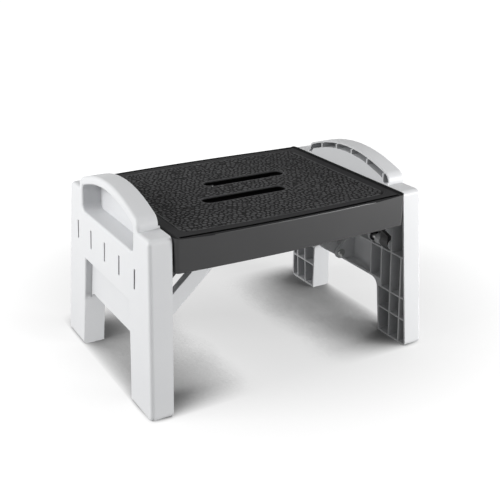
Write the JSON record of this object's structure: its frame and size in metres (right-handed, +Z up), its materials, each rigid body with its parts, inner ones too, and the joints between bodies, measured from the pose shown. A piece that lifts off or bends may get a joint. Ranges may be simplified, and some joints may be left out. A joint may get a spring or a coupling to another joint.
{
  "type": "folding caravan step",
  "caption": "Folding step with a bowed black non-slip tread on two splayed white end panels that fold in under it on pinned hinges, held open by sliding braces.",
  "frame": {"origin": "on the floor under the middle of the tread, step open", "axes": "+X along the tread to the right end panel, -Y to the front, +Z up"},
  "size_m": [0.4254, 0.2928, 0.2637],
  "materials": {
    "black_moulding": "satin moulded",
    "mat_rubber": "pebbled",
    "white_moulding": "satin moulded",
    "plated_steel": "zinc plated",
    "spring_steel": "blackened"
  },
  "bodies": {
    "tread": {"tread": "black_moulding", "non_slip_mat": "mat_rubber"},
    "left_panel": {"left_end_panel": "white_moulding", "left_front_hinge_pin": "plated_steel", "left_front_hinge_clip": "spring_steel", "left_rear_hinge_pin": "plated_steel", "left_rear_hinge_clip": "spring_steel", "left_brace_pivot_pin": "plated_steel", "left_brace_pivot_clip": "spring_steel"},
    "left_brace": {"left_brace": "white_moulding", "left_brace_slide_pin": "plated_steel", "left_brace_slide_clip": "spring_steel"},
    "right_panel": {"right_end_panel": "white_moulding", "right_front_hinge_pin": "plated_steel", "right_front_hinge_clip": "spring_steel", "right_rear_hinge_pin": "plated_steel", "right_rear_hinge_clip": "spring_steel", "right_brace_pivot_pin": "plated_steel", "right_brace_pivot_clip": "spring_steel"},
    "right_brace": {"right_brace": "white_moulding", "right_brace_slide_pin": "plated_steel", "right_brace_slide_clip": "spring_steel"}
  },
  "joints": [
    {"name": "left_panel_fold", "type": "hinge", "parent": "tread", "child": "left_panel", "pos_m": [-0.17832, 0, 0.145], "axis": [0, -1, 0], "range_deg": [0, 92.91]},
    {"name": "left_brace_swing", "type": "hinge", "parent": "left_panel", "child": "left_brace", "pos_m": [-0.16982, 0, 0.096], "axis": [0, 1, 0], "range_deg": [0, 124.54]},
    {"name": "right_panel_fold", "type": "hinge", "parent": "tread", "child": "right_panel", "pos_m": [0.17832, 0, 0.145], "axis": [0, 1, 0], "range_deg": [0, 92.91]},
    {"name": "right_brace_swing", "type": "hinge", "parent": "right_panel", "child": "right_brace", "pos_m": [0.16982, 0, 0.096], "axis": [0, -1, 0], "range_deg": [0, 124.54]}
  ],
  "couplings": [
    {"joint": "left_brace_swing", "follows": "left_panel_fold", "ratio": 1.3383},
    {"joint": "right_brace_swing", "follows": "right_panel_fold", "ratio": 1.3383}
  ]
}
